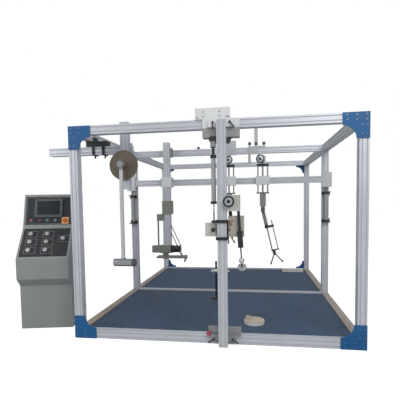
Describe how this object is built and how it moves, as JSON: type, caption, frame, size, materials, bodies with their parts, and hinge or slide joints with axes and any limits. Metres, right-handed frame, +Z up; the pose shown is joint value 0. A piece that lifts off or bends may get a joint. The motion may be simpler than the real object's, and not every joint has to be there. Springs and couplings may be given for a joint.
{
  "type": "furniture testing machine",
  "caption": "Furniture test rig: slotted aluminium cage over a floor, with an impact column, loading stations, swinging hammer, front load trolley and a slant-front console.",
  "frame": {"origin": "on the floor under the centre of the cage's middle frame", "axes": "+X to the right across the front, +Y from the front to the back, +Z up"},
  "size_m": [3.4449, 3.623, 2.3003],
  "materials": {
    "profile_aluminium": "satin anodised",
    "blue_plate": "satin blue paint",
    "floor_board": "dark blue laminate",
    "machined_aluminium": "machined, satin",
    "drilled_steel": "brushed",
    "polished_rod": "ground and polished",
    "olive_paint": "semi-matte paint",
    "black_paint": "semi-matte black paint",
    "black_plastic": "moulded black plastic",
    "bar_steel": "brushed",
    "bronze_plate": "dark bronze lacquer",
    "hammer_steel": "turned",
    "console_paint": "fine-textured grey paint",
    "panel_black": "dark satin panel",
    "screen": "dark display and frame",
    "warning_yellow": "yellow label plate",
    "stop_red": "red-orange plastic",
    "reset_pink": "translucent red plastic",
    "stop_dark_red": "dark red plastic",
    "start_green": "green plastic",
    "step_green": "grey-green plastic",
    "knob_metal": "spun face",
    "tan_pad": "tan elastomer with a white rim",
    "pale_bar": "off-white paint",
    "pad_steel": "turned"
  },
  "bodies": {
    "frame": {"posts": "profile_aluminium", "cross_beams": "profile_aluminium", "side_rails": "profile_aluminium", "corner_plates": "blue_plate", "floor_panels": "floor_board", "lift_cylinders": "machined_aluminium", "spare_pad": "tan_pad", "stop_stand": "black_paint", "spare_bar": "pale_bar", "console_cabinet": "console_paint", "console_panels": "panel_black", "touch_screen": "screen", "emergency_stop_plate": "warning_yellow"},
    "crossbeam": {"crossbeam": "profile_aluminium", "crossbeam_brackets": "machined_aluminium", "lift_rods": "polished_rod"},
    "impact_guide": {"impact_guide": "olive_paint"},
    "impact_carriage": {"impact_carriage": "olive_paint"},
    "impact_column": {"impact_column": "profile_aluminium", "impact_head": "olive_paint", "push_cylinder": "machined_aluminium"},
    "push_bar": {"push_bar": "bar_steel"},
    "station_1_carriage": {"station_1_carriage": "drilled_steel"},
    "station_1_handwheel": {"station_1_handwheel": "black_plastic"},
    "station_1_head": {"station_1_head": "polished_rod"},
    "station_1_guide": {"station_1_guide": "machined_aluminium"},
    "station_2_carriage": {"station_2_carriage": "drilled_steel"},
    "station_2_handwheel": {"station_2_handwheel": "black_plastic"},
    "station_2_head": {"station_2_head": "polished_rod"},
    "station_2_guide": {"station_2_guide": "machined_aluminium"},
    "station_2_actuator": {"station_2_actuator": "machined_aluminium"},
    "station_2_fork": {"station_2_fork": "polished_rod"},
    "pendulum_hanger": {"pendulum_hanger": "black_paint"},
    "pendulum_arm": {"pendulum_arm": "profile_aluminium"},
    "pendulum_column": {"pendulum_column": "profile_aluminium", "angle_dial": "bronze_plate"},
    "pendulum": {"pendulum": "polished_rod", "hammer": "hammer_steel"},
    "trolley": {"trolley_column": "profile_aluminium", "trolley_carriages": "drilled_steel", "trolley_lift_cylinder": "machined_aluminium"},
    "load_carriage": {"load_carriage": "black_paint", "carriage_straps": "black_paint", "load_cylinder": "black_paint"},
    "carriage_handwheel": {"carriage_handwheel": "black_plastic"},
    "load_rod": {"load_rod": "polished_rod"},
    "load_pad": {"load_pad": "pad_steel"},
    "stop_crossbar": {"stop_crossbar": "pale_bar"},
    "emergency_stop_button": {"emergency_stop_button": "stop_red"},
    "reset_button": {"reset_button": "reset_pink"},
    "stop_button": {"stop_button": "stop_dark_red"},
    "start_button": {"start_button": "start_green"},
    "step_button": {"step_button": "step_green"},
    "control_knob_1": {"control_knob_1": "knob_metal"},
    "control_knob_2": {"control_knob_2": "knob_metal"},
    "control_knob_3": {"control_knob_3": "knob_metal"},
    "control_knob_4": {"control_knob_4": "knob_metal"},
    "control_knob_5": {"control_knob_5": "knob_metal"},
    "control_knob_6": {"control_knob_6": "knob_metal"},
    "control_knob_7": {"control_knob_7": "knob_metal"}
  },
  "joints": [
    {"name": "crossbeam_lift", "type": "slide", "parent": "frame", "child": "crossbeam", "axis": [0, 0, 1], "range_m": [-0.04, 0.06]},
    {"name": "impact_carriage_slide", "type": "slide", "parent": "frame", "child": "impact_carriage", "axis": [1, 0, 0], "range_m": [-0.3, 0.5]},
    {"name": "impact_guide_slide", "type": "slide", "parent": "crossbeam", "child": "impact_guide", "axis": [1, 0, 0], "range_m": [-0.3, 0.5]},
    {"name": "impact_column_lift", "type": "slide", "parent": "impact_carriage", "child": "impact_column", "axis": [0, 0, 1], "range_m": [-0.1, 0.08]},
    {"name": "push_bar_slide", "type": "slide", "parent": "impact_column", "child": "push_bar", "axis": [1, 0, 0], "range_m": [-0.06, 0.06]},
    {"name": "station_1_carriage_slide", "type": "slide", "parent": "frame", "child": "station_1_carriage", "axis": [1, 0, 0], "range_m": [-0.4, 0.12]},
    {"name": "station_1_guide_slide", "type": "slide", "parent": "crossbeam", "child": "station_1_guide", "axis": [1, 0, 0], "range_m": [-0.4, 0.12]},
    {"name": "station_1_handwheel_turn", "type": "hinge", "parent": "station_1_carriage", "child": "station_1_handwheel", "pos_m": [0.053, -0.212, 1.8251], "axis": [0, 1, 0], "range_deg": [-4330, 1450]},
    {"name": "station_1_head_feed", "type": "slide", "parent": "station_1_carriage", "child": "station_1_head", "axis": [0, 0, 1], "range_m": [-0.06, 0.02]},
    {"name": "station_2_carriage_slide", "type": "slide", "parent": "frame", "child": "station_2_carriage", "axis": [1, 0, 0], "range_m": [-0.12, 0.6]},
    {"name": "station_2_guide_slide", "type": "slide", "parent": "crossbeam", "child": "station_2_guide", "axis": [1, 0, 0], "range_m": [-0.12, 0.6]},
    {"name": "station_2_handwheel_turn", "type": "hinge", "parent": "station_2_carriage", "child": "station_2_handwheel", "pos_m": [0.454, -0.212, 1.8251], "axis": [0, 1, 0], "range_deg": [-4330, 1450]},
    {"name": "station_2_head_feed", "type": "slide", "parent": "station_2_carriage", "child": "station_2_head", "axis": [0, 0, 1], "range_m": [-0.06, 0.02]},
    {"name": "station_2_actuator_swing", "type": "hinge", "parent": "station_2_head", "child": "station_2_actuator", "pos_m": [0.487, -0.16, 1.168], "axis": [0, 1, 0], "range_deg": [-35, 30]},
    {"name": "station_2_fork_stroke", "type": "slide", "parent": "station_2_actuator", "child": "station_2_fork", "axis": [0.225, 0, -0.9744], "range_m": [-0.08, 0.05]},
    {"name": "pendulum_hanger_slide", "type": "slide", "parent": "frame", "child": "pendulum_hanger", "axis": [0, 1, 0], "range_m": [-0.04, 0.7]},
    {"name": "pendulum_arm_slide", "type": "slide", "parent": "pendulum_hanger", "child": "pendulum_arm", "axis": [1, 0, 0], "range_m": [-0.12, 0.3]},
    {"name": "pendulum_column_lift", "type": "slide", "parent": "pendulum_arm", "child": "pendulum_column", "axis": [0, 0, 1], "range_m": [-0.15, 0.1]},
    {"name": "pendulum_swing", "type": "hinge", "parent": "pendulum_column", "child": "pendulum", "pos_m": [-0.888, -1.535, 1.656], "axis": [0, -1, 0], "range_deg": [-20, 110]},
    {"name": "trolley_slide", "type": "slide", "parent": "frame", "child": "trolley", "axis": [1, 0, 0], "range_m": [-0.95, 0.83]},
    {"name": "load_carriage_lift", "type": "slide", "parent": "trolley", "child": "load_carriage", "axis": [0, 0, 1], "range_m": [-0.25, 0.11]},
    {"name": "carriage_handwheel_turn", "type": "hinge", "parent": "load_carriage", "child": "carriage_handwheel", "pos_m": [0.17, -1.847, 1.281], "axis": [0, 1, 0], "continuous": true},
    {"name": "load_rod_stroke", "type": "slide", "parent": "load_carriage", "child": "load_rod", "axis": [0.0558, 0, -0.9984], "range_m": [-0.06, 0.12]},
    {"name": "load_pad_tilt", "type": "hinge", "parent": "load_rod", "child": "load_pad", "pos_m": [0.27579, -1.803, 0.73772], "axis": [0.9984, 0, 0.0558], "range_deg": [-12, 12]},
    {"name": "stop_crossbar_slide", "type": "slide", "parent": "frame", "child": "stop_crossbar", "axis": [0, 0, 1], "range_m": [-0.2, 0.08]},
    {"name": "emergency_stop_press", "type": "slide", "parent": "frame", "child": "emergency_stop_button", "axis": [-0.2011, 0.946, -0.2542], "range_m": [0, 0.004], "stiffness_N_per_m": 1500, "springref_m": -0.002},
    {"name": "reset_press", "type": "slide", "parent": "frame", "child": "reset_button", "axis": [-0.2011, 0.946, -0.2542], "range_m": [0, 0.005], "stiffness_N_per_m": 400, "springref_m": -0.002},
    {"name": "stop_press", "type": "slide", "parent": "frame", "child": "stop_button", "axis": [-0.2011, 0.946, -0.2542], "range_m": [0, 0.005], "stiffness_N_per_m": 400, "springref_m": -0.002},
    {"name": "start_press", "type": "slide", "parent": "frame", "child": "start_button", "axis": [-0.2011, 0.946, -0.2542], "range_m": [0, 0.005], "stiffness_N_per_m": 400, "springref_m": -0.002},
    {"name": "step_press", "type": "slide", "parent": "frame", "child": "step_button", "axis": [-0.2011, 0.946, -0.2542], "range_m": [0, 0.005], "stiffness_N_per_m": 400, "springref_m": -0.002},
    {"name": "control_knob_1_turn", "type": "hinge", "parent": "frame", "child": "control_knob_1", "pos_m": [-1.92674, -1.44205, 0.97049], "axis": [0.172, -0.8093, 0.5616], "range_deg": [-135, 135]},
    {"name": "control_knob_2_turn", "type": "hinge", "parent": "frame", "child": "control_knob_2", "pos_m": [-1.76328, -1.40788, 0.96967], "axis": [0.172, -0.8093, 0.5616], "range_deg": [-135, 135]},
    {"name": "control_knob_3_turn", "type": "hinge", "parent": "frame", "child": "control_knob_3", "pos_m": [-1.91197, -1.49231, 0.89355], "axis": [0.172, -0.8093, 0.5616], "range_deg": [-135, 135]},
    {"name": "control_knob_4_turn", "type": "hinge", "parent": "frame", "child": "control_knob_4", "pos_m": [-1.74753, -1.45793, 0.89272], "axis": [0.172, -0.8093, 0.5616], "range_deg": [-135, 135]},
    {"name": "control_knob_5_turn", "type": "hinge", "parent": "frame", "child": "control_knob_5", "pos_m": [-1.59045, -1.4033, 0.92333], "axis": [0.172, -0.8093, 0.5616], "range_deg": [-135, 135]},
    {"name": "control_knob_6_turn", "type": "hinge", "parent": "frame", "child": "control_knob_6", "pos_m": [-1.89783, -1.54442, 0.81412], "axis": [0.172, -0.8093, 0.5616], "range_deg": [-135, 135]},
    {"name": "control_knob_7_turn", "type": "hinge", "parent": "frame", "child": "control_knob_7", "pos_m": [-1.73252, -1.50928, 0.81412], "axis": [0.172, -0.8093, 0.5616], "range_deg": [-135, 135]}
  ],
  "couplings": [
    {"joint": "impact_guide_slide", "follows": "impact_carriage_slide", "ratio": 1},
    {"joint": "station_1_guide_slide", "follows": "station_1_carriage_slide", "ratio": 1},
    {"joint": "station_1_handwheel_turn", "follows": "station_1_head_feed", "rad_per_m": 1256.6},
    {"joint": "station_2_guide_slide", "follows": "station_2_carriage_slide", "ratio": 1},
    {"joint": "station_2_handwheel_turn", "follows": "station_2_head_feed", "rad_per_m": 1256.6}
  ]
}
